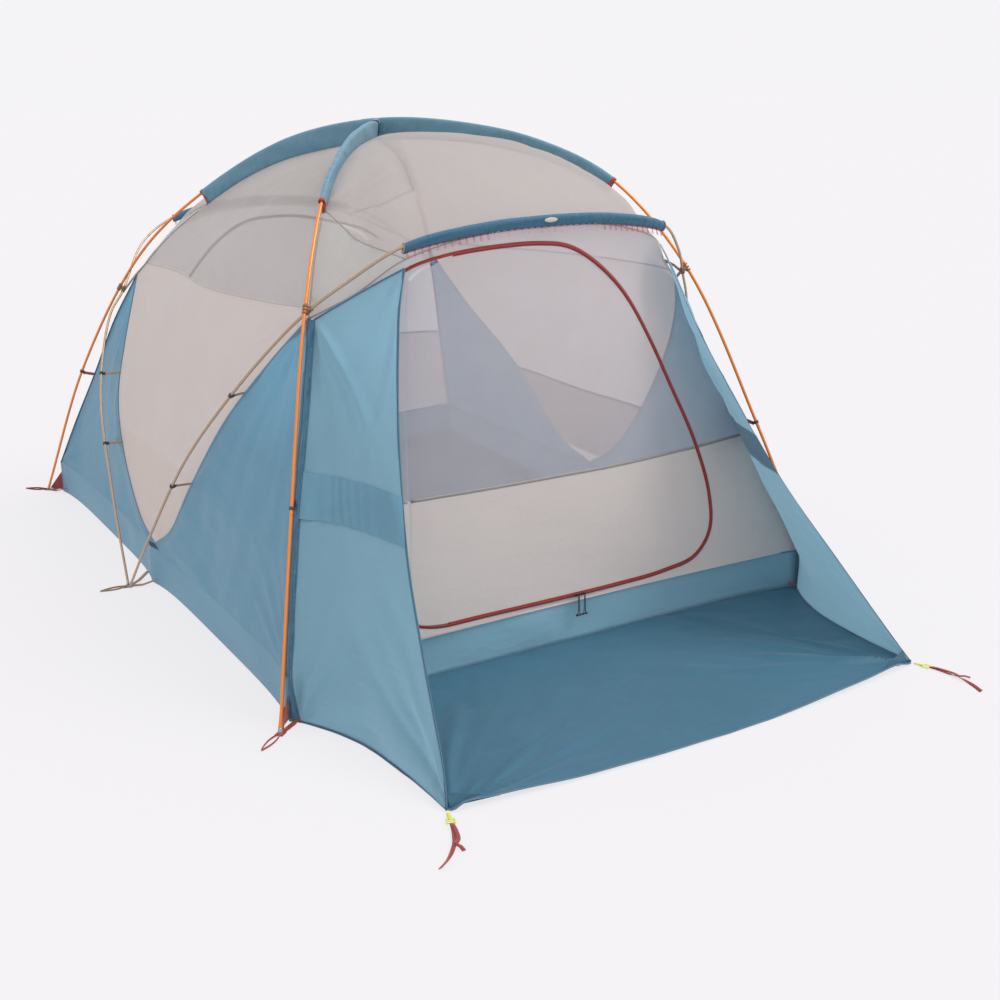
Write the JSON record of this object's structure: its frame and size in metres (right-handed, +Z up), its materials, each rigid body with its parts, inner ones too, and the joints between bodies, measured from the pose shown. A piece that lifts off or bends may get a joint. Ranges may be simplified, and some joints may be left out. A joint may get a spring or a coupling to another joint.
{
  "type": "dome tent",
  "caption": "Free-standing dome tent: crossed main poles, a brow pole over each end, a zipped D-shaped door at both ends and an open floored porch staked out in front.",
  "frame": {"origin": "middle of the tub floor's underside, on the ground", "axes": "+Z up; -Y out of the front door, over the porch; +X to the right seen from in front of the porch"},
  "size_m": [2.8148, 4.374, 1.9413],
  "materials": {
    "fabric_blue": "matte coated nylon",
    "fabric_deep_blue": "matte coated nylon",
    "fabric_porch_blue": "matte coated nylon",
    "fabric_pale_grey": "thin uncoated ripstop, slightly translucent",
    "mesh_grey": "fine mosquito mesh over ripstop",
    "pole_orange": "orange anodised, satin",
    "pole_bronze": "bronze anodised, satin",
    "webbing_red": "woven webbing",
    "webbing_bronze": "woven webbing",
    "clip_plastic": "moulded",
    "zip_red": "coil zip, satin",
    "slider_black": "satin black",
    "pull_black": "cord and moulded toggle",
    "yellow_plastic": "moulded"
  },
  "bodies": {
    "tent": {"tub_floor": "fabric_deep_blue", "side_panel_left": "fabric_pale_grey", "side_panel_right": "fabric_pale_grey", "corner_panel_front_left": "fabric_blue", "corner_panel_front_right": "fabric_blue", "corner_panel_back_left": "fabric_blue", "corner_panel_back_right": "fabric_blue", "roof_panel_front": "mesh_grey", "roof_panel_back": "mesh_grey", "front_wall": "mesh_grey", "front_zip": "zip_red", "back_wall": "mesh_grey", "back_zip": "zip_red", "ridge_sleeve_front_left": "fabric_blue", "ridge_sleeve_front_right": "fabric_blue", "ridge_sleeve_back_left": "fabric_blue", "ridge_sleeve_back_right": "fabric_blue", "brow_sleeve_front": "fabric_deep_blue", "brow_sleeve_back": "fabric_deep_blue", "main_pole_front_left_to_back_right": "pole_orange", "main_pole_front_right_to_back_left": "pole_orange", "brow_pole_front": "pole_bronze", "brow_pole_back": "pole_bronze", "pole_hub_front_left": "clip_plastic", "leg_clip_front_left": "webbing_red", "brow_clip_lower_front_left": "clip_plastic", "brow_clip_upper_front_left": "clip_plastic", "foot_webbing_front_left": "webbing_red", "pole_hub_front_right": "clip_plastic", "leg_clip_front_right": "webbing_red", "brow_clip_lower_front_right": "clip_plastic", "brow_clip_upper_front_right": "clip_plastic", "foot_webbing_front_right": "webbing_red", "pole_hub_back_left": "clip_plastic", "leg_clip_back_left": "webbing_red", "brow_clip_lower_back_left": "clip_plastic", "brow_clip_upper_back_left": "clip_plastic", "foot_webbing_back_left": "webbing_red", "pole_hub_back_right": "clip_plastic", "leg_clip_back_right": "webbing_red", "brow_clip_lower_back_right": "clip_plastic", "brow_clip_upper_back_right": "clip_plastic", "foot_webbing_back_right": "webbing_red", "foot_webbing_middle_left": "webbing_bronze", "foot_webbing_middle_right": "webbing_bronze", "porch_side_left": "fabric_porch_blue", "porch_side_right": "fabric_porch_blue", "porch_floor": "fabric_deep_blue"},
    "front_door_leaf": {"front_door": "mesh_grey"},
    "back_door_leaf": {"back_door": "mesh_grey"},
    "front_slider_left_body": {"front_slider_left": "slider_black"},
    "front_slider_right_body": {"front_slider_right": "slider_black"},
    "back_slider_left_body": {"back_slider_left": "slider_black"},
    "back_slider_right_body": {"back_slider_right": "slider_black"},
    "front_pull_left": {"front_zip_pull_left": "pull_black"},
    "front_pull_right": {"front_zip_pull_right": "pull_black"},
    "ladder_lock_left": {"porch_ladder_lock_left": "yellow_plastic"},
    "ladder_lock_right": {"porch_ladder_lock_right": "yellow_plastic"},
    "stake_strap_left": {"porch_stake_strap_left": "webbing_red"},
    "stake_strap_right": {"porch_stake_strap_right": "webbing_red"}
  },
  "joints": [
    {"name": "front_door_hinge", "type": "hinge", "parent": "tent", "child": "front_door_leaf", "pos_m": [-0.672, -1.5059, 0.262], "axis": [-0.1178, -0.1785, -0.9769], "range_deg": [0, 75]},
    {"name": "back_door_hinge", "type": "hinge", "parent": "tent", "child": "back_door_leaf", "pos_m": [0.672, 1.5153, 0.262], "axis": [0.1125, 0.2046, -0.9724], "range_deg": [0, 75]},
    {"name": "front_slider_left_run", "type": "slide", "parent": "tent", "child": "front_slider_left_body", "axis": [-1, 0, 0], "range_m": [0, 0.4]},
    {"name": "front_slider_right_run", "type": "slide", "parent": "tent", "child": "front_slider_right_body", "axis": [1, 0, 0], "range_m": [0, 0.15]},
    {"name": "back_slider_left_run", "type": "slide", "parent": "tent", "child": "back_slider_left_body", "axis": [-1, 0, 0], "range_m": [0, 0.15]},
    {"name": "back_slider_right_run", "type": "slide", "parent": "tent", "child": "back_slider_right_body", "axis": [1, 0, 0], "range_m": [0, 0.4]},
    {"name": "front_pull_left_flip", "type": "hinge", "parent": "front_slider_left_body", "child": "front_pull_left", "pos_m": [0.048, -1.52954, 0.195], "axis": [-1, 0, 0], "range_deg": [0, 150]},
    {"name": "front_pull_right_flip", "type": "hinge", "parent": "front_slider_right_body", "child": "front_pull_right", "pos_m": [0.076, -1.52955, 0.195], "axis": [-1, 0, 0], "range_deg": [0, 150]},
    {"name": "ladder_lock_left_lift", "type": "hinge", "parent": "tent", "child": "ladder_lock_left", "pos_m": [-1.002, -2.37, 0.005], "axis": [-0.9477, 0.3192, 0], "range_deg": [0, 80]},
    {"name": "stake_strap_left_lift", "type": "hinge", "parent": "ladder_lock_left", "child": "stake_strap_left", "pos_m": [-1.02168, -2.42843, 0.005], "axis": [-0.9477, 0.3192, 0], "range_deg": [0, 60]},
    {"name": "ladder_lock_right_lift", "type": "hinge", "parent": "tent", "child": "ladder_lock_right", "pos_m": [1.002, -2.37, 0.005], "axis": [-0.9477, -0.3192, 0], "range_deg": [0, 80]},
    {"name": "stake_strap_right_lift", "type": "hinge", "parent": "ladder_lock_right", "child": "stake_strap_right", "pos_m": [1.02168, -2.42843, 0.005], "axis": [-0.9477, -0.3192, 0], "range_deg": [0, 60]}
  ]
}
